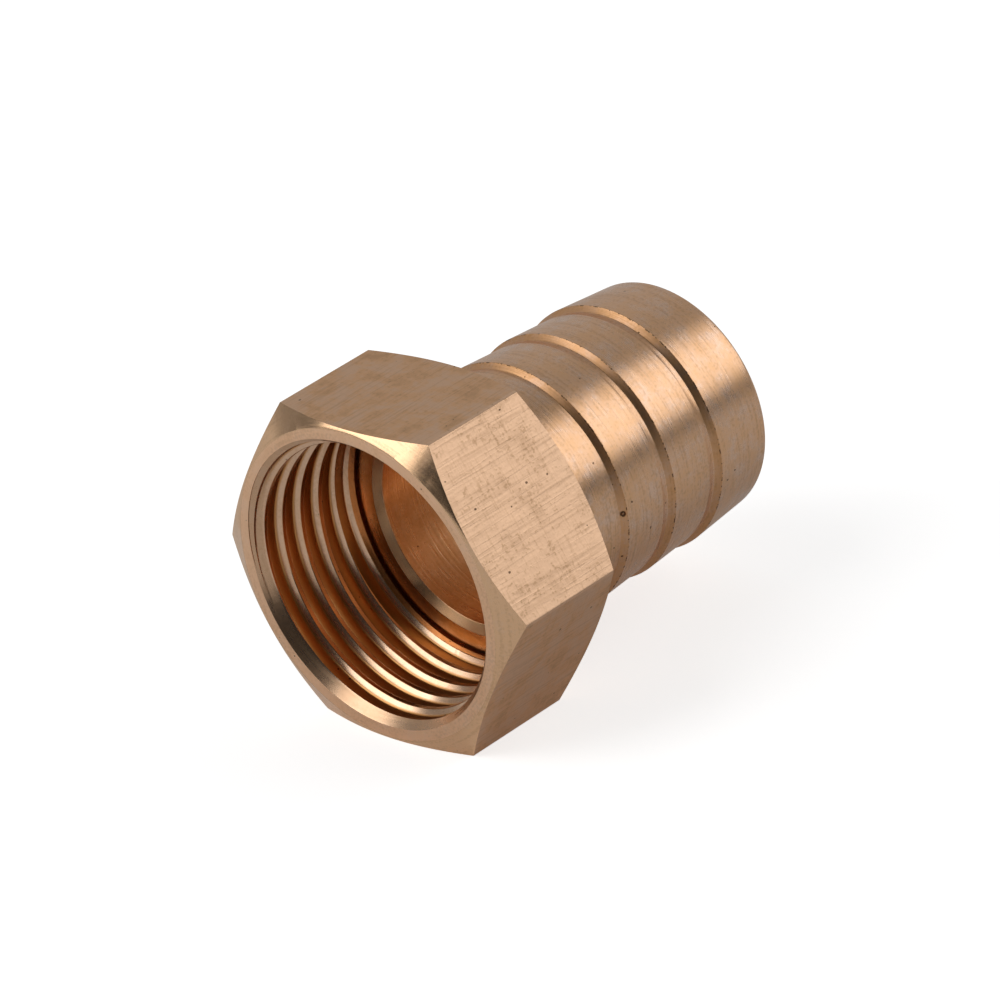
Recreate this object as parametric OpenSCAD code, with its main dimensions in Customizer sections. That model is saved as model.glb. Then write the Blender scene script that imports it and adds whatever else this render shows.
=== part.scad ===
// Brass hose nipple, turned from one piece of hexagon bar.
// A hexagon head holds a female thread with a flat washer seat, and a barbed tail holds a hose.
// The axis is X: the mouth face lies in the plane x = 0, and the tail points to +X.
// The part lies on one flat of the hexagon, which faces -Z.

/* [Hexagon] */
// Width of the hexagon bar across its flats
hex_af = 24; // [23:0.25:27]
// Length of the hexagon along the middle of a flat
hex_l = 11; // [9:0.25:16]
// Diameter of the flat ring at the mouth, where the corner chamfer starts
face_d = 23.6; // [22.6:0.1:24]
// Angle of the corner chamfer at the mouth, measured from the mouth face
face_chamfer_a = 28; // [15:1:40]
// Angle of the turned cone behind the hexagon, measured from the mouth face
back_cone_a = 28; // [10:1:40]

/* [Female thread] */
// Diameter over the thread's crests, which is the plain bore here
thread_minor_d = 20.5; // [20:0.1:21.2]
// Diameter of the countersink at the mouth
mouth_d = 21.9; // [21.3:0.1:22.4]
// Angle between the countersink's wall and the axis
mouth_a = 42; // [30:1:60]
// Diameter of the relief groove behind the thread
relief_d = 22.3; // [21.5:0.1:22.8]
// Width of the relief groove
relief_w = 0.45; // [0.4:0.05:1.5]

/* [Washer seat] */
// Thickness of metal from the washer seat to the back of the flats
seat_back = 0.9; // [0.5:0.05:1.5]
// Height of the seat above the bottom of the relief groove
seat_rise = 0.35; // [0.2:0.05:0.6]
// Gap between the thread's crests and the raised seat
seat_gap = 0.2; // [0.1:0.05:0.6]
// Width of the bevel around the seat
seat_bevel_w = 0.35; // [0.1:0.05:0.6]
// Angle of that bevel, measured from the seat
seat_bevel_a = 15; // [5:1:25]
// Largest diameter of the chamfer that leads into the tail's bore
lead_d = 17.4; // [16.6:0.1:18]
// Angle of that chamfer, measured from the seat
lead_a = 22; // [10:1:50]

/* [Tail] */
// Bore through the tail
tail_bore_d = 15.9; // [14:0.1:16.5]
// Diameter of the neck and of the foot of every barb
root_d = 18.2; // [17.6:0.1:18.6]
// Distance from the back of the flats to the first barb's crest
neck_l = 5.6; // [4.5:0.1:8]
// Radius of the fillet between the cone behind the hexagon and the neck
neck_fillet_r = 1.5; // [0.5:0.1:2.5]
// Distance from the last barb's crest to the tail's end
tip_l = 5.4; // [3:0.1:8]
// Diameter over the tail's end
tip_d = 18; // [17.2:0.1:18.8]
// Radius that breaks the tail's outer edge
tip_edge_r = 0.3; // [0.1:0.05:0.5]
// Chamfer inside the tail's end
tip_bore_chamfer = 0.25; // [0.1:0.05:0.4]

/* [Barbs] */
// Number of barbs
barb_n = 3; // [1:1:5]
// Diameter over the crest of each barb
barb_d = 18.9; // [18.7:0.1:20]
// Distance from one crest to the next
barb_pitch = 5; // [3.5:0.1:5.5]
// Angle between a barb's step and the axis
step_a = 39; // [30:1:80]
// Width of the shallow groove in front of each step
groove_w = 0.6; // [0.3:0.05:1]
// Depth of that groove
groove_h = 0.09; // [0.03:0.01:0.15]
// Radius at the foot of each step
foot_r = 0.15; // [0.05:0.01:0.2]

/* [Hidden] */
$fn = 96;
arc_steps = 8;
brass = "#c69567";
// Extra length and radius with which a cut runs past the metal
past = 1;

seat_x = hex_l - seat_back;
relief_x = seat_x + seat_rise;
thread_l = relief_x - relief_w;
barb_x = hex_l + neck_l;
overall_l = barb_x + (barb_n - 1) * barb_pitch + tip_l;
flat_r = hex_af / 2;
corner_r = flat_r / cos(30);
blank_r = corner_r + past;
face_r = face_d / 2;
root_r = root_d / 2;
barb_r = barb_d / 2;
tip_r = tip_d / 2;
minor_r = thread_minor_d / 2;
mouth_r = mouth_d / 2;
relief_r = relief_d / 2;
seat_r = minor_r - seat_gap;
lead_r = lead_d / 2;
tail_bore_r = tail_bore_d / 2;

// Profile points are [x, radius]. An arc turns from one angle to the other about its centre.
function arc(x, r, radius, from, to) =
    [for (i = [0 : arc_steps])
        let (a = from + (to - from) * i / arc_steps)
        [x + radius * cos(a), r + radius * sin(a)]];

// Chamfer at the mouth, and cone behind the hexagon: the place along the axis at a given radius.
function face_chamfer_x(r) = (r - face_r) * tan(face_chamfer_a);
function back_cone_x(r) = hex_l - (r - flat_r) * tan(back_cone_a);

// Fillet that touches the cone behind the hexagon and the neck.
function neck_fillet() =
    let (
        r = root_r + neck_fillet_r,
        x = back_cone_x(r) + neck_fillet_r / cos(back_cone_a)
    )
    arc(x, r, neck_fillet_r, 180 + back_cone_a, 270);

// Barbs are counted from the hexagon. Each has a crest, and a step whose radius begins at the foot.
function crest_x(i) = barb_x + i * barb_pitch;
function foot_x(i) = crest_x(i) - (barb_r - root_r) / tan(step_a) - foot_r * tan(step_a / 2);

// One barb: the radius at its foot, then the step up to its crest.
function barb(i) = concat(
    arc(foot_x(i), root_r + foot_r, foot_r, 270, 270 + step_a),
    [[crest_x(i), barb_r]]
);

// Shallow groove that runs down to a barb's foot, and ends there level with the axis.
function groove(i) =
    let (radius = (groove_w * groove_w + groove_h * groove_h) / (2 * groove_h))
    arc(foot_x(i), root_r + radius, radius, 270 - asin(groove_w / radius), 270);

// Everything that is turned on the outside, from the mouth to the tail's end.
function outline() = concat(
    [[0, 0], [0, face_r]],
    [[face_chamfer_x(blank_r), blank_r], [back_cone_x(blank_r), blank_r]],
    neck_fillet(),
    barb(0),
    [for (i = [1 : 1 : barb_n - 1]) each concat(groove(i), barb(i))],
    arc(overall_l - tip_edge_r, tip_r - tip_edge_r, tip_edge_r, 90, 0),
    [[overall_l, 0]]
);

// Everything that is bored, from past the mouth to past the tail's end.
function bore_outline() =
    let (
        countersink_l = (mouth_r - minor_r) / tan(mouth_a),
        bevel_l = seat_bevel_w * tan(seat_bevel_a),
        lead_l = (lead_r - tail_bore_r) * tan(lead_a)
    )
    [
        [-past, 0],
        [-past, mouth_r],
        [0, mouth_r],
        [countersink_l, minor_r],
        [thread_l, minor_r],
        [thread_l, relief_r],
        [relief_x, relief_r],
        [relief_x, seat_r],
        [seat_x + bevel_l, seat_r],
        [seat_x, seat_r - seat_bevel_w],
        [seat_x, lead_r],
        [seat_x + lead_l, tail_bore_r],
        [overall_l - tip_bore_chamfer, tail_bore_r],
        [overall_l, tail_bore_r + tip_bore_chamfer],
        [overall_l + past, tail_bore_r + tip_bore_chamfer],
        [overall_l + past, 0]
    ];

// A profile of [x, radius] points turned about the X axis.
module turned(profile) {
    rotate([0, 90, 0])
        rotate_extrude()
            polygon([for (p = profile) [p[1], p[0]]]);
}

// The bar that the part is cut from, with a flat up and a flat down.
module hexagon_bar() {
    rotate([0, 90, 0])
        rotate([0, 0, 30])
            cylinder(r = corner_r, h = overall_l, $fn = 6);
}

module hose_nipple() {
    color(brass)
        difference() {
            intersection() {
                hexagon_bar();
                turned(outline());
            }
            turned(bore_outline());
        }
}

hose_nipple();
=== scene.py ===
import math

import bpy
from bpy.props import FloatProperty, FloatVectorProperty, IntProperty, PointerProperty
from mathutils import Matrix, Vector


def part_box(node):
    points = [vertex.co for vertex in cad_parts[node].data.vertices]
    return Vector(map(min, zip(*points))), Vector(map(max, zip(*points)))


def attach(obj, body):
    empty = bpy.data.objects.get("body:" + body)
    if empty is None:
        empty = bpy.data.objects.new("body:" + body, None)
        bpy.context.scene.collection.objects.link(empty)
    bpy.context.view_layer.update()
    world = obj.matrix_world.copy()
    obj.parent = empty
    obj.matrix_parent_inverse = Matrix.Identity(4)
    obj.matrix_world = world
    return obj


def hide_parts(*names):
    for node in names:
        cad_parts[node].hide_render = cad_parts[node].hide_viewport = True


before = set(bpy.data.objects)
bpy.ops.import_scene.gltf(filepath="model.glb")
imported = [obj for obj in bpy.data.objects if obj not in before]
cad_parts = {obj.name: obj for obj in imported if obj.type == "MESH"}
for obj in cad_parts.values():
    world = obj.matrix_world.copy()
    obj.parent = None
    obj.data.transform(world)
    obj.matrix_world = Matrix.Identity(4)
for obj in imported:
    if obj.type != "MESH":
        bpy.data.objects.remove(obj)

bl_info = {
    "name": "Brass hose nipple",
    "version": (1, 0, 0),
    "blender": (4, 5, 0),
    "location": "View3D > Sidebar > Hose nipple",
    "description": "Models a turned brass hose nipple with its thread, its finish and a small studio",
    "category": "Object",
}

# The axis is X. The mouth lies in the plane x = 0, and the tail points to +X.
# Outlines are lists of (x, radius). In them an angle is measured from +X towards larger radii.

MM = 0.001
FULL_TURN = 2 * math.pi
# Away from the axis and towards it, in an outline.
OUTWARD, INWARD = math.pi / 2, 1.5 * math.pi
# How far a cut, or the blank that is cut, runs past the metal.
PAST = 1 * MM
CAD_NODE = "hose_nipple"
CAD_LOW, CAD_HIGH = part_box(CAD_NODE)

# The body's material slots, in the order in which finishes() gives them.
DRAWN, FACED, CHAMFERED, THREADED, BORED, TURNED = range(6)


def length(name, description, mm):
    """A length that is written here in millimetres and kept in metres."""
    return FloatProperty(name=name, description=description, default=mm * MM, unit="LENGTH", precision=5)


def angle(name, description, degrees):
    """An angle that is written here in degrees and kept in radians."""
    return FloatProperty(name=name, description=description, default=math.radians(degrees), subtype="ANGLE")


def colour(name, description, rgb):
    """A linear colour."""
    return FloatVectorProperty(name=name, description=description, default=rgb, size=3, subtype="COLOR",
                               min=0, max=1)


def position(name, description, xyz):
    """A point in metres."""
    return FloatVectorProperty(name=name, description=description, default=xyz, size=3,
                               subtype="TRANSLATION", precision=5)


def brightness(name, description, level):
    """The brightness of a surface that glows, where 1 is white."""
    return FloatProperty(name=name, description=description, default=level, min=0)


class NippleSizes(bpy.types.PropertyGroup):
    """The forms that are turned and cut."""

    hexagon_width: length("Hexagon width", "Across the flats", round(-2 * CAD_LOW.z / MM, 3))
    hexagon_length: length("Hexagon length", "Along the middle of a flat", 11)
    corner_radius: length("Corner radius", "Radius along the hexagon's six corners", 0.05)
    face_width: length("Face diameter", "Outside diameter of the ring at the mouth", 23.6)
    face_edge: length("Face edge", "Size of the break round that ring", 0.04)
    cone_angle: angle("Cone angle", "Of the chamfer and the back cone, from the mouth face", 28)
    mouth_width: length("Mouth diameter", "Diameter of the countersink at the mouth", 21.9)
    mouth_angle: angle("Countersink angle", "Between the countersink and the axis", 42)
    nick_width: length("Nick diameter", "Diameter of the second, eccentric cut at the mouth", 20.8)
    nick_depth: length("Nick depth", "Depth of that cut's straight wall", 0.08)
    nick_angle: angle("Nick angle", "Between the cone under that wall and the axis", 60)
    nick_shift: length("Nick shift", "Distance from the axis to the middle of that cut", 0.75)
    nick_bearing: angle("Nick bearing", "Direction of that shift, from +Y towards +Z", 40)
    crest_width: length("Thread crest diameter", "Plain bore that the thread is cut into", 20.5)
    relief_width: length("Relief diameter", "Diameter of the groove behind the thread", 22.3)
    relief_start: length("Relief start", "Distance from the mouth to the relief groove", 10)
    relief_end: length("Relief end", "Distance from the mouth to the groove's bottom", 10.45)
    relief_edge: length("Relief edge", "Size of the break between the bore and the groove", 0.03)
    seat_place: length("Seat depth", "Distance from the mouth to the washer seat", 10.1)
    seat_width: length("Seat diameter", "Outside diameter of the raised seat", 20.1)
    seat_bevel: length("Seat bevel", "Width of the bevel round the seat", 0.35)
    seat_bevel_angle: angle("Seat bevel angle", "Between that bevel and the seat", 15)
    lead_width: length("Lead diameter", "Largest diameter of the chamfer into the tail's bore", 17.4)
    lead_angle: angle("Lead angle", "Of that chamfer, from the seat", 22)
    bore_width: length("Tail bore", "Diameter of the bore through the tail", 15.9)
    bore_chamfer: length("Bore chamfer", "Chamfer of the bore at the tail's end", 0.25)
    reamer_stop: length("Reamer stop", "Distance from the mouth to the faint line in the bore", 13.24)
    neck_fillet: length("Neck fillet", "Radius between the back cone and the neck", 1.5)
    root_width: length("Neck diameter", "Diameter of the neck and of each barb's foot", 18.2)
    barb_width: length("Barb diameter", "Over the crest of each barb", 18.9)
    barb_place: length("First barb", "Distance from the mouth to the first crest", 16.6)
    barb_spacing: length("Barb spacing", "From one crest to the next", 5)
    barb_count: IntProperty(name="Barbs", description="Number of barbs", default=3, min=1, max=3)
    barb_edge: length("Barb edge", "Size of the break on each crest", 0.05)
    step_angle: angle("Step angle", "Between a barb's step and the axis", 39)
    foot_radius: length("Foot radius", "Radius at the foot of each step", 0.15)
    shallow_width: length("Foot groove width", "Of the shallow groove in front of each step", 0.6)
    shallow_depth: length("Foot groove depth", "Depth of that groove", 0.09)
    tail_end: length("Overall length", "From the mouth to the tail's end", round(CAD_HIGH.x / MM, 3))
    tip_width: length("Tip diameter", "Diameter over the tail's end", 18)
    rim_radius: length("Rim radius", "Radius of the tail's outer edge", 0.3)
    turn_spacing: length("Thread pitch", "From one turn to the next", 1.855)
    crest_land: length("Crest width", "Width of the flat on the thread's crest", 0.36)
    crest_edge: length("Crest edge", "Size of the break beside that flat", 0.03)
    flank_angle: angle("Flank angle", "Between a flank of the thread and the axis", 60)
    groove_width: length("Thread root diameter", "Over the bottom of the thread's groove", 21.52)
    groove_radius: length("Groove radius", "Radius between a flank and the root", 0.2)
    groove_hollow: angle("Groove hollow", "Slope of the hollow root where that radius ends", 8)
    groove_place: length("Thread start", "Where a groove crosses the +Y side, from the mouth", -0.07)
    groove_stop: length("Thread end", "Depth at which the tool stops and backs out", 8.8)
    run_out: angle("Run-out", "Turn over which the tool backs out", 200)
    steps: IntProperty(name="Steps", description="Steps in one turn of the mesh", default=240, min=48, max=320)
    smooth_angle: angle("Smooth angle", "Faces that meet at less than it shade as one", 19)


class NippleFinish(bpy.types.PropertyGroup):
    """The look of the metal."""

    brass: colour("Brass", "Colour of clean brass", (0.88, 0.585, 0.39))
    # Warm brass also serves as painted shade on the drawn flats other than the lit one.
    warm: colour("Warm brass", "Colour where the skin is a little redder", (0.80, 0.47, 0.25))
    yellow: colour("Yellow brass", "Colour of the freshly cut chamfer", (0.87, 0.55, 0.32))
    faced: colour("Faced brass", "Colour of the ring at the mouth", (0.99, 0.63, 0.40))
    dulled: colour("Dulled brass", "Colour of the handled tail", (0.79, 0.495, 0.31))
    grey: colour("Greyed brass", "Colour of the paler, greyer patches", (0.74, 0.60, 0.53))
    # Stained brass also serves as painted shade: on the drawn flats other than the lit one, and on the chamfer
    # into the tail's bore.
    stained: colour("Stained brass", "Colour where oxide dulls it", (0.46, 0.27, 0.14))
    # This colour paints shade in the thread's roots, together with an oil stain, and on the barbs' steps; in
    # the bore it colours blotches.
    oil_and_shade: colour("Oiled brass", "Colour of the thread's roots", (0.56, 0.25, 0.06))
    pit: colour("Pit", "Colour in pits and torn edges", (0.06, 0.03, 0.015))
    dent: position("Dent", "The small dent at the first barb's foot", (0.01636, -0.0092, 0.00025))


class StudioLook(bpy.types.PropertyGroup):
    """Lights, floor and camera."""

    sight: position("Camera place", "Where the camera stands", (-0.31159, -0.33115, 0.23374))
    target: position("Camera target", "The point that the camera looks at", (0.014745, 0.00092, -0.000445))
    roll: angle("Camera roll", "Turn of the camera about its own sight", -8.044)
    lens: FloatProperty(name="Focal length", description="For a sensor 36 mm wide", default=269.06,
                        unit="CAMERA")
    box_distance: length("Box distance", "From the piece to each soft box, along the floor", 800)
    left_power: FloatProperty(name="Left power", description="Of the left soft box", default=5.2, unit="POWER")
    left_bearing: angle("Left bearing", "Direction of the left soft box from +X", 147)
    left_height: length("Left height", "Height of the left soft box above the axis", 620)
    left_size: FloatVectorProperty(name="Left size", description="Width and height of the left soft box",
                                   default=(0.68, 1.25), size=2, unit="LENGTH")
    right_power: FloatProperty(name="Right power", description="Of the right soft box", default=2, unit="POWER")
    right_bearing: angle("Right bearing", "Direction of the right soft box from +X", -40)
    right_height: length("Right height", "Height of the right soft box above the axis", 460)
    right_size: FloatVectorProperty(name="Right size", description="Width and height of the right soft box",
                                    default=(0.8, 0.6), size=2, unit="LENGTH")
    room_size: length("Room", "Distance from the piece to the walls of the room", 2500)
    room_near: brightness("Room behind the camera", "Brightness there", 0.03)
    room_far: brightness("Room on the far side", "Brightness there", 0.44)
    far_side: angle("Far side", "Direction of the far side from +X", 45)
    floor_glow: brightness("Floor for the camera", "Added brightness", 0.7)
    floor_gloss: brightness("Floor in the metal", "Added brightness", 0.08)


# Modelling helpers


def only(piece):
    """Leaves one object selected and active."""
    bpy.ops.object.select_all(action="DESELECT")
    piece.select_set(True)
    bpy.context.view_layer.objects.active = piece


def edit(piece, mode="VERT"):
    """Opens one object in edit mode."""
    only(piece)
    bpy.ops.object.mode_set(mode="EDIT")
    bpy.ops.mesh.select_mode(type=mode)


def done():
    """Closes edit mode."""
    bpy.ops.object.mode_set(mode="OBJECT")


def select(piece, vertices):
    """Selects vertices of a piece that is in edit mode, by their numbers."""
    bpy.ops.mesh.select_all(action="DESELECT")
    done()
    for i in vertices:
        piece.data.vertices[i].select = True
    edit(piece)


def added(name):
    """The object that the last operator made, under its new name and with its place in its mesh."""
    piece = bpy.context.active_object
    piece.name = name
    piece.data.name = name
    bpy.ops.object.transform_apply(location=True, rotation=True, scale=True)
    return piece


def drawn_loop(name, points):
    """A closed outline in the plane of X and Z, drawn from one vertex by extruding, and left in edit mode."""
    x, r = points[0]
    bpy.ops.object.select_all(action="DESELECT")
    bpy.ops.mesh.primitive_plane_add(size=MM, location=(x, 0, r))
    piece = added(name)
    edit(piece)
    bpy.ops.mesh.select_all(action="SELECT")
    bpy.ops.mesh.merge(type="CENTER")
    for (x0, r0), (x1, r1) in zip(points, points[1:]):
        bpy.ops.mesh.extrude_vertices_move(TRANSFORM_OT_translate={"value": (x1 - x0, 0, r1 - r0)})
    select(piece, vertices=(0, len(points) - 1))
    bpy.ops.mesh.edge_face_add()
    return piece


def turned(name, points, steps):
    """A solid of revolution about X, from a closed outline."""
    piece = drawn_loop(name, points)
    bpy.ops.mesh.select_all(action="SELECT")
    bpy.ops.mesh.spin(steps=steps, angle=FULL_TURN, center=(0, 0, 0), axis=(1, 0, 0))
    bpy.ops.mesh.select_all(action="SELECT")
    bpy.ops.mesh.remove_doubles(threshold=MM * 1e-4)
    bpy.ops.mesh.normals_make_consistent(inside=False)
    done()
    return piece


def closed(tool):
    """Closes the open ends of a swept tool and turns its faces outwards."""
    edit(tool)
    bpy.ops.mesh.select_all(action="SELECT")
    bpy.ops.mesh.fill_holes(sides=0)
    bpy.ops.mesh.select_all(action="SELECT")
    bpy.ops.mesh.normals_make_consistent(inside=False)
    done()
    return tool


def apply_modifier(piece, kind, name, **settings):
    """Adds a modifier and applies it at once."""
    only(piece)
    modifier = piece.modifiers.new(name, kind)
    for key, value in settings.items():
        setattr(modifier, key, value)
    bpy.ops.object.modifier_apply(modifier=name)


def combine(piece, tool, operation):
    """Cuts or trims a piece with a tool, which is then thrown away."""
    apply_modifier(piece, "BOOLEAN", operation.title(), object=tool, operation=operation, solver="MANIFOLD")
    bpy.data.objects.remove(tool)
    if not piece.data.polygons:
        raise RuntimeError(f"{operation} left nothing of {piece.name}")


def arc(x, r, radius, start, stop, steps):
    """Points on an arc about (x, r), from one angle to the other."""
    turns = [start + (stop - start) * i / steps for i in range(steps + 1)]
    return [(x + radius * math.cos(a), r + radius * math.sin(a)) for a in turns]


# Outlines and places that follow from the sizes


def corner_reach(s):
    """Distance from the axis to the hexagon's sharp corners."""
    return s.hexagon_width / 2 / math.cos(math.pi / 6)


def step_length(s):
    """Length of a barb's step along the axis."""
    return (s.barb_width - s.root_width) / 2 / math.tan(s.step_angle)


def sink_depth(s):
    """Distance from the mouth to the end of the countersink."""
    return (s.mouth_width - s.crest_width) / 2 / math.tan(s.mouth_angle)


def outside(s):
    """The turned outside, from the mouth's edge to the tail's end."""
    flat, blank = s.hexagon_width / 2, corner_reach(s) + PAST
    face, root, barb, tip = (width / 2 for width in (s.face_width, s.root_width, s.barb_width, s.tip_width))
    slope = math.tan(s.cone_angle)
    points = [(0, face - s.face_edge), (s.face_edge * slope, face + s.face_edge)]
    points += [((blank - face) * slope, blank), (s.hexagon_length - (blank - flat) * slope, blank)]
    fillet = s.neck_fillet
    x = s.hexagon_length - (root + fillet - flat) * slope + fillet / math.cos(s.cone_angle)
    points += arc(x, root + fillet, fillet, math.pi + s.cone_angle, INWARD, 10)
    # The shallow groove is an arc that ends level with the axis.
    shallow = (s.shallow_width ** 2 + s.shallow_depth ** 2) / (2 * s.shallow_depth)
    foot, edge = s.foot_radius, s.barb_edge
    for i in range(s.barb_count):
        top = s.barb_place + i * s.barb_spacing
        x = top - step_length(s) - foot * math.tan(s.step_angle / 2)
        if i:
            start = INWARD - math.asin(s.shallow_width / shallow)
            points += arc(x, root + shallow, shallow, start, INWARD, 5)[:-1]
        points += arc(x, root + foot, foot, INWARD, INWARD + s.step_angle, 5)
        points += [
            (top - edge * math.cos(s.step_angle), barb - edge * math.sin(s.step_angle)),
            (top - 0.35 * edge, barb - 0.12 * edge),
            (top + edge, barb - 0.06 * edge),
        ]
    rim = s.rim_radius
    return points + arc(s.tail_end - rim, tip - rim, rim, OUTWARD, 0, 6)


def inside(s):
    """The bore, from the tail's end back to the mouth's edge."""
    crest, bore, seat, lead = (width / 2 for width in (s.crest_width, s.bore_width, s.seat_width, s.lead_width))
    return [
        (s.tail_end, bore + s.bore_chamfer),
        (s.tail_end - s.bore_chamfer, bore),
        (s.seat_place + (lead - bore) * math.tan(s.lead_angle), bore),
        (s.seat_place, lead),
        (s.seat_place, seat - s.seat_bevel),
        (s.seat_place + s.seat_bevel * math.tan(s.seat_bevel_angle), seat),
        (s.relief_end, seat),
        (s.relief_end, s.relief_width / 2),
        (s.relief_start, s.relief_width / 2),
        (s.relief_start, crest + s.relief_edge),
        (s.relief_start - s.relief_edge, crest),
        (sink_depth(s), crest),
        (0, s.mouth_width / 2),
    ]


def groove_outline(s):
    """Section of the thread's groove about its own middle, open towards the axis.

    Each half has a lip past the crest, a flank, a radius and half of the hollow root. The angles that it runs
    through are those of the surface from the axis, and they fall from the flank's to 0 in the middle.
    """
    crest, deep = s.crest_width / 2, s.groove_width / 2
    flank, hollow, radius = s.flank_angle, s.groove_hollow, s.groove_radius
    top = (s.turn_spacing - s.crest_land) / 2
    wide = radius * (math.sin(flank) - math.sin(hollow))
    high = radius * (math.cos(hollow) - math.cos(flank))
    lean, sag = 1 / math.tan(flank), math.tan(hollow / 2)
    # Height of the flank that leaves room for the radius and the root.
    rise = (deep - crest - high - sag * (top - wide)) / (1 - sag * lean)
    x, r = rise * lean - top, crest + rise
    edge = s.crest_edge
    half = [(-top - 1.2 * edge, crest - 3 * edge), (-top - edge, crest),
            (-top - 0.4 * edge, crest + 0.3 * edge), (-top + lean * edge, crest + edge)]
    for i in range(7):
        a = flank + (hollow - flank) * i / 6
        half.append((x + radius * (math.sin(flank) - math.sin(a)),
                     r + radius * (math.cos(a) - math.cos(flank))))
    bottom = -half[-1][0] / math.sin(hollow)
    for i in range(1, 4):
        a = hollow * (1 - i / 3)
        half.append((-bottom * math.sin(a), deep - bottom * (1 - math.cos(a))))
    return half + [(-x, r) for x, r in reversed(half[:-1])]


# Parts of the body and the tools that cut it


def hexagon_bar(s):
    """The bar that the body is cut from, with a flat up and a flat down, and with rounded corners."""
    bpy.ops.object.select_all(action="DESELECT")
    bpy.ops.mesh.primitive_cylinder_add(vertices=6, radius=corner_reach(s), depth=2 * s.tail_end,
                                        location=(s.tail_end / 2, 0, 0), rotation=(0, math.pi / 2, 0))
    bar = added("hexagon_bar")
    edit(bar, "EDGE")
    bpy.ops.mesh.select_all(action="DESELECT")
    done()
    for e in bar.data.edges:
        a, b = (bar.data.vertices[i].co for i in e.vertices)
        e.select = abs(a.x - b.x) > s.tail_end
    edit(bar, "EDGE")
    bpy.ops.mesh.bevel(offset=s.corner_radius, segments=3, affect="EDGES")
    done()
    return bar


def thread_start(s):
    """Where the helix begins, outside the mouth.

    The outline is drawn on the +Z side, a quarter turn after +Y, and the helix starts one turn before that.
    """
    return s.groove_place - 0.75 * s.turn_spacing


def thread_turns(s):
    """Turns of the helix, up to where the tool stops."""
    return (s.groove_stop - thread_start(s)) / s.turn_spacing


def helix_tool(s):
    """The path of the thread's tool as a solid, from outside the mouth to where it stops."""
    tool = drawn_loop("helix_tool", [(x + thread_start(s), r) for x, r in groove_outline(s)])
    done()
    steps = round(s.steps * thread_turns(s))
    apply_modifier(tool, "SCREW", "Helix", axis="X", angle=FULL_TURN * thread_turns(s), iterations=1,
                   steps=steps, screw_offset=s.groove_stop - thread_start(s), render_steps=steps,
                   use_smooth_shade=True)
    return closed(tool)


def run_out_tool(s):
    """The end of that path, where the tool no longer moves on: it backs out, slowly at first.

    It gives way a little towards the mouth, and ends 15% of the thread's depth clear of the bore.
    """
    tool = drawn_loop("run_out_tool", [(x + s.groove_stop, r) for x, r in groove_outline(s)])
    bpy.ops.mesh.select_all(action="SELECT")
    rings = 48
    step, give = s.run_out / rings, 0.25 * MM / rings
    out = 1.15 * (s.groove_width - s.crest_width) / 2
    at = OUTWARD
    for i in range(rings):
        at += step
        back = out * (2 * i + 1) / rings ** 2
        bpy.ops.mesh.extrude_region_move(TRANSFORM_OT_translate={"value": (0, 0, 0)})
        bpy.ops.transform.rotate(value=-step, orient_axis="X", center_override=(0, 0, 0))
        bpy.ops.transform.translate(value=(-give, -back * math.cos(at), -back * math.sin(at)))
    done()
    closed(tool)
    edit(tool)
    bpy.ops.mesh.select_all(action="SELECT")
    # Half a step early, so that it overlaps the end of the helix.
    turn = FULL_TURN * thread_turns(s) - 0.5 * step
    bpy.ops.transform.rotate(value=-turn, orient_axis="X", center_override=(0, 0, 0))
    done()
    return tool


def nick_tool(s):
    """A shallow second countersink, off centre, which nicks one side of the mouth."""
    rim, wall, cone = s.nick_width / 2, s.nick_depth, 0.6 * MM
    tool = turned("nick_tool", [(-PAST, 0), (-PAST, rim), (wall, rim),
                                (wall + cone, rim - cone * math.tan(s.nick_angle)), (wall + cone, 0)], s.steps)
    only(tool)
    bpy.ops.transform.translate(value=(0, s.nick_shift * math.cos(s.nick_bearing),
                                       s.nick_shift * math.sin(s.nick_bearing)))
    bpy.ops.object.transform_apply(location=True, rotation=True, scale=True)
    return tool


# Shader helpers


class Signal:
    """One output of a shader node, so that arithmetic on it adds Math nodes."""

    def __init__(self, paint, socket):
        self.paint, self.socket = paint, socket

    def math(self, operation, *others, first=None):
        """A Math node on this value and the others, or on another value that comes first and this one."""
        terms = [self, *others] if first is None else [first, self]
        return self.paint.node("ShaderNodeMath", {"operation": operation}, dict(enumerate(terms)))

    def __add__(self, other):
        return self.math("ADD", other)

    def __sub__(self, other):
        return self.math("SUBTRACT", other)

    def __rsub__(self, other):
        return self.math("SUBTRACT", first=other)

    def __mul__(self, other):
        return self.math("MULTIPLY", other)

    __radd__, __rmul__ = __add__, __mul__

    def above(self, low, high):
        """0 below low, 1 above high, and smooth between them. With low and high changed round it falls."""
        if low > high:
            return 1 - self.above(high, low)
        return self.paint.node("ShaderNodeMapRange", {"interpolation_type": "SMOOTHSTEP"},
                               {0: self, 1: low, 2: high, 3: 0.0, 4: 1.0})

    def between(self, low, high, blur):
        """1 between low and high, and 0 outside, over a soft edge."""
        return self.above(low - blur, low + blur) * self.above(high + blur, high - blur)


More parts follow.
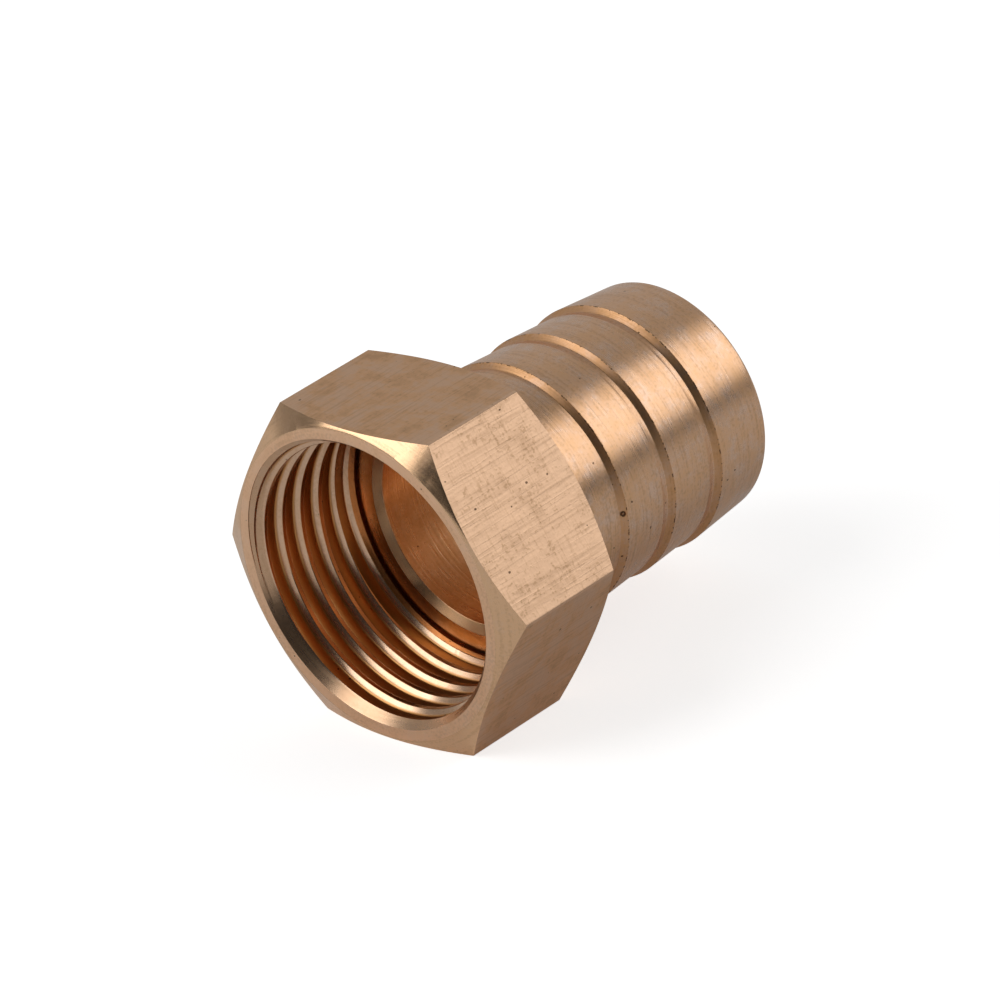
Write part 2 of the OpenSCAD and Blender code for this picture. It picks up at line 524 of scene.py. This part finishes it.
class Paint:
    """The node tree of one material."""

    def __init__(self, name):
        self.material = bpy.data.materials.new(name)
        self.material.use_nodes = True
        self.tree = self.material.node_tree
        self.tree.nodes.clear()

    def node(self, kind, settings=None, inputs=None, output=0):
        """Adds a node. Settings are made first, then its inputs get values or links."""
        made = self.tree.nodes.new(kind)
        for key, value in (settings or {}).items():
            setattr(made, key, value)
        for key, value in (inputs or {}).items():
            if isinstance(value, Signal):
                self.tree.links.new(value.socket, made.inputs[key])
            else:
                made.inputs[key].default_value = value
        return Signal(self, made.outputs[output]) if made.outputs else None

    def vector(self, operation, *terms, output=0, **inputs):
        """A Vector Math node. Its second output is a number."""
        return self.node("ShaderNodeVectorMath", {"operation": operation},
                         {**dict(enumerate(terms)), **inputs}, output)

    def blend(self, factor, a, b):
        """Mixes two colours."""
        a, b = (c if isinstance(c, Signal) else (*c, 1.0) for c in (a, b))
        return self.node("ShaderNodeMix", {"data_type": "RGBA"}, {0: factor, 6: a, 7: b}, 2)

    def place(self):
        """The point on the piece in millimetres, its x, and its distance from the axis."""
        point = self.vector("SCALE", self.node("ShaderNodeTexCoord", output=3), Scale=1 / MM)
        x = self.node("ShaderNodeSeparateXYZ", inputs={0: point})
        radius = self.vector("LENGTH", self.stretched(point, (0, 1, 1)), output=1)
        return point, x, radius

    def stretched(self, point, scale):
        """The point with each of its coordinates scaled."""
        return self.vector("MULTIPLY", point, scale)

    def noise(self, point, scale=1.0, *, detail, rough=0.5):
        """Smooth noise about 0.5."""
        return self.node("ShaderNodeTexNoise", {},
                         {"Vector": point, "Scale": scale, "Detail": detail, "Roughness": rough})

    def pits(self, point, scale, ragged, largest=0.11):
        """Scattered pits of many sizes with ragged edges: 1 inside and 0 outside."""
        away = self.node("ShaderNodeTexVoronoi", {}, {"Vector": point, "Scale": scale})
        cell = Signal(self, away.socket.node.outputs["Color"])
        chance = self.node("ShaderNodeSeparateColor", {}, {0: cell})
        size = largest * chance * chance * chance
        return (size + 0.12 * (ragged - 0.5) * size.above(0.01, 0.03) - away).above(0.0, 0.02)

    def metal(self, base, rough, height):
        """Ends the material as a metal. The height is in millimetres."""
        normal = self.node("ShaderNodeBump", {}, {"Strength": 1.0, "Distance": MM, "Height": height})
        shader = self.node("ShaderNodeBsdfPrincipled", {},
                           {"Base Color": base, "Metallic": 1.0, "Roughness": rough, "Normal": normal})
        self.node("ShaderNodeOutputMaterial", {}, {"Surface": shader})
        return self.material


# Finishes. In them lengths are in millimetres, as Paint.place() gives them.


def turned_brass(name, look, clean, warm, rough, rings, blotches, pitted=0.11, special=None):
    """Brass from the lathe: fine rings about X, warm and grey blotches, stains and pits.

    A special function may change the colour, the roughness and the height.
    """
    paint = Paint(name)
    point, x, radius = paint.place()
    # The rings lie where x and radius are the same, and change slowly round the axis.
    path = paint.vector("ADD", paint.node("ShaderNodeCombineXYZ", {}, {0: x + 0.37 * radius}),
                        paint.stretched(point, (0.0, 0.14, 0.14)))
    fine = paint.noise(paint.stretched(path, (4.5, 1.0, 1.0)), detail=2.0, rough=0.75)
    patch = paint.noise(point, 0.6, detail=4.0, rough=0.75)
    grain = paint.noise(point, 5.0, detail=0.0)
    pits = paint.pits(point, 1.1, grain, pitted)
    stains = (fine + 0.5 * (grain - 0.5)).above(0.47, 0.75)
    shade = paint.blend(patch.above(0.42, 0.68) * blotches, clean, warm)
    shade = paint.blend(patch.above(0.50, 0.34) * blotches * 0.4, shade, look.grey)
    shade = paint.blend(stains * (0.15 + 0.3 * blotches), shade, look.stained)
    rough = rough + 0.14 * (fine - 0.5) + 0.12 * (patch - 0.5)
    height = rings * 0.024 * fine
    if special:
        shade, rough, height = special(paint, point, x, radius, fine, shade, rough, height)
    shade = paint.blend(pits * 0.85, shade, look.pit)
    return paint.metal(shade, rough, height)


def barbed(s, look):
    """Steps on the barbs darkened and reddened with painted shade, crests that the tool tore here and there,
    and the dent.
    """
    first, spacing, reach = s.barb_place / MM, s.barb_spacing / MM, step_length(s) / MM
    last = first + (s.barb_count - 1) * spacing

    def change(paint, point, x, radius, fine, shade, rough, height):
        # Distance along the axis from the nearest crest.
        turn = paint.node("ShaderNodeMath", {"operation": "WRAP"},
                          {0: x - first, 1: 0.5 * spacing, 2: -0.5 * spacing})
        barbs = x.between(first - 1.6, last + 0.9, 0.1)
        step = turn.between(-reach - 0.03, 0.03, 0.02) * barbs
        tears = paint.noise(paint.stretched(point, (0.7, 2.4, 2.4)), detail=3.0, rough=0.8)
        torn = (turn + 0.25 * (tears - 0.5)).between(-0.03, 0.05, 0.02) * tears.above(0.52, 0.59) * barbs
        away = paint.vector("DISTANCE", point, Vector(look.dent) / MM, output=1)
        dent = away.between(0.08, 0.20, 0.05)
        # Painted shade on the barbs' steps, down to the creases at their feet.
        shade = paint.blend(step * 0.35, shade, look.oil_and_shade)
        shade = paint.blend((torn + dent) * 0.85, shade, look.pit)
        return shade, rough + 0.12 * step, height - 0.08 * dent

    return change


def threaded(s, look):
    """Roots painted dark orange as shade deep in the groove, with an oil stain, warm crests, and a dull
    countersink with its tool's rings.
    """
    crest_r, sink = s.crest_width / 2 / MM, sink_depth(s) / MM

    def change(paint, point, x, radius, fine, shade, rough, height):
        past_sink = x - sink
        root = radius.above(crest_r + 0.27, crest_r + 0.43) * past_sink.above(-0.28, -0.08)
        crest = radius.above(crest_r + 0.05, crest_r + 0.02) * past_sink.above(0.02, 0.12)
        cone = past_sink.above(-0.03, -0.13)
        # Painted shade deep in the groove, together with an oil stain: the roots turn dark orange.
        shade = paint.blend(root * 0.85, shade, look.oil_and_shade)
        shade = paint.blend(crest * 0.6, shade, look.warm)
        shade = paint.blend(cone * 0.4, shade, look.stained)
        return shade, rough + 0.12 * root + 0.08 * cone, height * (1 + 3 * cone)

    return change


def reamed(s, look):
    """A rough chamfer into the tail's bore, painted darker as shade and flecked with dark specks, and the faint
    line where the reamer stopped.
    """
    inner, outer = s.bore_width / 2 / MM, s.lead_width / 2 / MM
    seat, stop = s.seat_place / MM, s.reamer_stop / MM

    def change(paint, point, x, radius, fine, shade, rough, height):
        lead = radius.between(inner + 0.03, outer, 0.02) * x.between(seat - 0.1, seat + 0.5, 0.02)
        line = (x + 0.3 * (fine - 0.5)).between(stop - 0.03, stop + 0.03, 0.02)
        # Painted shade on the chamfer deep in the bore, with dark specks over it.
        shade = paint.blend(lead * 0.7, shade, look.stained)
        shade = paint.blend(lead * (0.15 + 0.5 * fine.above(0.4, 0.6)), shade, look.pit)
        shade = paint.blend(line * 0.7, shade, look.brass)
        return shade, rough - 0.1 * lead, height * (1 + 3 * lead)

    return change


def drawn_brass(name, s, look):
    """Brass as the bar was drawn: lines along X, chatter across them, stains and pits. One flat is painted as
    lit, with clean brass and less stain; the other flats get painted shade as warmer, more stained brass.
    """
    paint = Paint(name)
    point = paint.place()[0]
    fine = paint.noise(paint.stretched(point, (0.16, 5.5, 5.5)), detail=1.0, rough=0.7)
    draw = paint.noise(paint.stretched(point, (0.03, 1.0, 1.0)), detail=1.0, rough=0.6)
    chatter = paint.noise(paint.stretched(point, (5.5, 0.5, 0.5)), detail=1.0)
    patch = paint.noise(paint.stretched(point, (0.45, 0.42, 0.42)), detail=3.0, rough=0.65)
    grain = paint.noise(paint.stretched(point, (3.0, 4.0, 4.0)), detail=1.0, rough=0.7)
    pits = paint.pits(paint.stretched(point, (0.8, 1.0, 1.0)), 1.25, grain, 0.13)
    # The line that a high spot of the die draws is a narrow ridge.
    ridge = 1 - (draw - 0.5).math("ABSOLUTE").above(0.004, 0.016)
    # The flat that faces -Y and up is painted as the lit one: clean brass with less stain, though with more
    # chatter and specks.
    flat, facing = s.hexagon_width / 2 / MM, (0.0, -math.cos(math.pi / 6), 0.5)
    clean = paint.vector("DOT_PRODUCT", point, facing, output=1).above(flat - 0.4, flat - 0.2)
    rubbed = patch.above(0.46, 0.58)
    specks = (grain + 0.3 * (chatter - 0.5)).above(0.56, 0.68) * (0.3 + 0.7 * rubbed)
    lines = fine.above(0.50, 0.72) * (0.28 - 0.12 * clean) + chatter.above(0.52, 0.7) * (0.05 + 0.11 * clean)
    # Painted shade: the flats other than the lit one get warm brass, grey patches and more stained lines and
    # patches.
    shade = paint.blend(1 - 0.8 * clean, look.brass, look.warm)
    shade = paint.blend(patch.above(0.58, 0.38) * (1 - clean) * 0.25, shade, look.grey)
    shade = paint.blend(patch.above(0.52, 0.72) * (0.36 - 0.14 * clean), shade, look.stained)
    shade = paint.blend(lines, shade, look.stained)
    shade = paint.blend(specks * (0.30 + 0.2 * clean), shade, look.stained)
    shade = paint.blend(pits * 0.8, shade, look.pit)
    rough = 0.40 + 0.12 * (fine - 0.5) + 0.1 * (patch - 0.5)
    height = 0.006 * fine + 0.004 * draw + 0.003 * ridge + 0.006 * chatter + 0.009 * grain
    return paint.metal(shade, rough, height)


def finishes(s, look):
    """The materials of the body, in the order of its slots."""
    return (
        drawn_brass("drawn_brass", s, look),
        turned_brass("faced_brass", look, look.faced, look.warm, rough=0.36, rings=0.35, blotches=0.3,
                     pitted=0.07),
        turned_brass("chamfered_brass", look, look.yellow, look.brass, rough=0.17, rings=0.12, blotches=0.35,
                     pitted=0.09),
        turned_brass("thread_brass", look, look.brass, look.warm, rough=0.20, rings=0.10, blotches=0.25,
                     pitted=0.10, special=threaded(s, look)),
        turned_brass("bored_brass", look, look.warm, look.oil_and_shade, rough=0.29, rings=0.6, blotches=0.35,
                     special=reamed(s, look)),
        turned_brass("turned_brass", look, look.dulled, look.warm, rough=0.29, rings=0.7, blotches=0.8,
                     special=barbed(s, look)),
    )


def finish_of(centre, normal, s):
    """The slot of a face of the body, by where it is and which way it faces."""
    radius = math.hypot(centre.y, centre.z)
    inward = centre.y * normal.y + centre.z * normal.z < 0
    faces_mouth = normal.x < -0.98
    slack = 0.02 * MM
    thread_reach = s.groove_width / 2 + 0.6 * MM
    if centre.x < s.relief_start and (inward or normal.x < -0.1) and radius < thread_reach:
        return FACED if faces_mouth and radius > s.mouth_width / 2 - slack else THREADED
    if abs(normal.x) < 0.01 and radius > s.hexagon_width / 2 - 0.1 * MM:
        return DRAWN
    if centre.x < slack and faces_mouth:
        return FACED
    if centre.x < 3 * MM and normal.x < -0.5:
        return CHAMFERED
    if inward or radius < s.relief_width / 2 and centre.x < s.relief_end + slack:
        return BORED
    return TURNED


class HOSENIPPLE_OT_body(bpy.types.Operator):
    """Model the turned body with its hexagon and thread"""

    bl_idname = "hosenipple.body"
    bl_label = "Body"
    bl_options = {"REGISTER", "UNDO"}

    def execute(self, context):
        s, look = context.scene.nipple_sizes, context.scene.nipple_finish
        body = turned("brass_body", outside(s) + inside(s), s.steps)
        combine(body, hexagon_bar(s), "INTERSECT")
        # The helix and its run-out are cut one after the other, because together they'd cross themselves.
        combine(body, helix_tool(s), "DIFFERENCE")
        combine(body, run_out_tool(s), "DIFFERENCE")
        combine(body, nick_tool(s), "DIFFERENCE")
        body.data.materials.clear()
        for material in finishes(s, look):
            body.data.materials.append(material)
        for face in body.data.polygons:
            face.material_index = finish_of(face.center, face.normal, s)
        only(body)
        bpy.ops.object.shade_smooth_by_angle(angle=s.smooth_angle)
        apply_modifier(body, "WEIGHTED_NORMAL", "Weighted normals", keep_sharp=True)
        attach(body, "root")
        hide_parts(CAD_NODE)
        return {"FINISHED"}


# Studio


def glowing(piece, material):
    """Gives a piece of the studio a material that glows, but that isn't sampled as a lamp."""
    piece.data.materials.append(material)
    material.cycles.emission_sampling = "NONE"


def pale_floor(look):
    """A white table top. The camera sees it at full white except in the shadow, and metal sees it weaker."""
    paint = Paint("pale_floor")
    seen, glossy, through = (paint.node("ShaderNodeLightPath", output=i) for i in (0, 3, 6))
    glow = seen * look.floor_glow + (glossy + through) * look.floor_gloss
    cloth = paint.node("ShaderNodeBsdfDiffuse", {}, {"Color": (0.8, 0.8, 0.8, 1)})
    lamp = paint.node("ShaderNodeEmission", {}, {"Color": glow, "Strength": 1.0})
    both = paint.node("ShaderNodeAddShader", {}, {0: cloth, 1: lamp})
    paint.node("ShaderNodeOutputMaterial", {}, {"Surface": both})
    return paint.material


def dark_room(look):
    """The room round the table, dark behind the camera and grey on the far side."""
    paint = Paint("dark_room")
    way = paint.vector("NORMALIZE", paint.node("ShaderNodeTexCoord", output=3))
    towards = (math.cos(look.far_side), math.sin(look.far_side), 0.0)
    far = paint.vector("DOT_PRODUCT", way, towards, output=1)
    glow = look.room_near + (look.room_far - look.room_near) * far.above(-0.2, 0.9)
    lamp = paint.node("ShaderNodeEmission", {}, {"Color": glow, "Strength": 1.0})
    paint.node("ShaderNodeOutputMaterial", {}, {"Surface": lamp})
    return paint.material


def add_floor(look):
    """A round table top under the piece."""
    bpy.ops.object.select_all(action="DESELECT")
    bpy.ops.mesh.primitive_circle_add(vertices=96, radius=look.room_size, fill_type="NGON",
                                      location=(0, 0, CAD_LOW.z))
    floor = added("floor")
    glowing(floor, pale_floor(look))
    return floor


def add_room(look):
    """The half of a sphere above the table, seen from inside and hidden from the camera."""
    bpy.ops.object.select_all(action="DESELECT")
    bpy.ops.mesh.primitive_uv_sphere_add(segments=64, ring_count=32, radius=look.room_size)
    room = added("room")
    edit(room)
    bpy.ops.mesh.select_all(action="SELECT")
    bpy.ops.mesh.bisect(plane_co=(0, 0, CAD_LOW.z), plane_no=(0, 0, 1), clear_inner=True)
    bpy.ops.mesh.select_all(action="SELECT")
    bpy.ops.mesh.flip_normals()
    done()
    glowing(room, dark_room(look))
    room.visible_camera = False
    return room


def add_soft_box(name, bearing, distance, height, size, power):
    """A rectangular soft box that stands on a bearing from the piece and faces it."""
    data = bpy.data.lights.new(name, "AREA")
    data.shape = "RECTANGLE"
    data.size, data.size_y = size
    data.energy = power
    box = bpy.data.objects.new(name, data)
    bpy.context.scene.collection.objects.link(box)
    box.location = (distance * math.cos(bearing), distance * math.sin(bearing), height)
    head = Vector((10 * MM, 0, 0))
    box.rotation_euler = (head - box.location).to_track_quat("-Z", "Y").to_euler()
    box.visible_camera = False


def add_camera(look):
    """The camera at the photograph's place."""
    data = bpy.data.cameras.new("camera")
    data.sensor_width, data.lens = 36, look.lens
    data.clip_start, data.clip_end = 0.01, 10
    camera = bpy.data.objects.new("camera", data)
    bpy.context.scene.collection.objects.link(camera)
    camera.location = look.sight
    aim = (Vector(look.target) - Vector(look.sight)).to_track_quat("-Z", "Y").to_matrix()
    camera.rotation_euler = (aim @ Matrix.Rotation(look.roll, 3, "Z")).to_euler()
    return camera


class HOSENIPPLE_OT_studio(bpy.types.Operator):
    """Set up the floor, the dark room, the soft boxes and the camera"""

    bl_idname = "hosenipple.studio"
    bl_label = "Studio"
    bl_options = {"REGISTER", "UNDO"}

    def execute(self, context):
        scene = context.scene
        look = scene.studio_look
        floor, room = add_floor(look), add_room(look)
        add_soft_box("left_box", look.left_bearing, look.box_distance, look.left_height, look.left_size,
                     look.left_power)
        add_soft_box("right_box", look.right_bearing, look.box_distance, look.right_height, look.right_size,
                     look.right_power)
        # Only the camera could see the world, past the edge of the table.
        world = bpy.data.worlds.new("white_surround")
        world.use_nodes = True
        world.node_tree.nodes["Background"].inputs["Color"].default_value = (1, 1, 1, 1)
        scene.world = world
        scene.camera = add_camera(look)
        scene.view_settings.view_transform = "Standard"
        return {"FINISHED"}


class HOSENIPPLE_PT_panel(bpy.types.Panel):
    """Sizes, finish and studio of the hose nipple"""

    bl_idname = "HOSENIPPLE_PT_panel"
    bl_label = "Hose nipple"
    bl_space_type = "VIEW_3D"
    bl_region_type = "UI"
    bl_category = "Hose nipple"

    def draw(self, context):
        scene = context.scene
        for group, operator in ((scene.nipple_sizes, None), (scene.nipple_finish, "hosenipple.body"),
                                (scene.studio_look, "hosenipple.studio")):
            box = self.layout.box()
            for name in group.__annotations__:
                box.prop(group, name)
            if operator:
                box.operator(operator)


CLASSES = (NippleSizes, NippleFinish, StudioLook, HOSENIPPLE_OT_body, HOSENIPPLE_OT_studio, HOSENIPPLE_PT_panel)
GROUPS = {"nipple_sizes": NippleSizes, "nipple_finish": NippleFinish, "studio_look": StudioLook}


def register():
    for c in CLASSES:
        bpy.utils.register_class(c)
    for name, group in GROUPS.items():
        setattr(bpy.types.Scene, name, PointerProperty(type=group))


def unregister():
    for name in GROUPS:
        delattr(bpy.types.Scene, name)
    for c in reversed(CLASSES):
        bpy.utils.unregister_class(c)


def main():
    register()
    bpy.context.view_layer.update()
    bpy.ops.hosenipple.body()
    bpy.ops.hosenipple.studio()


if __name__ == "__main__":
    main()
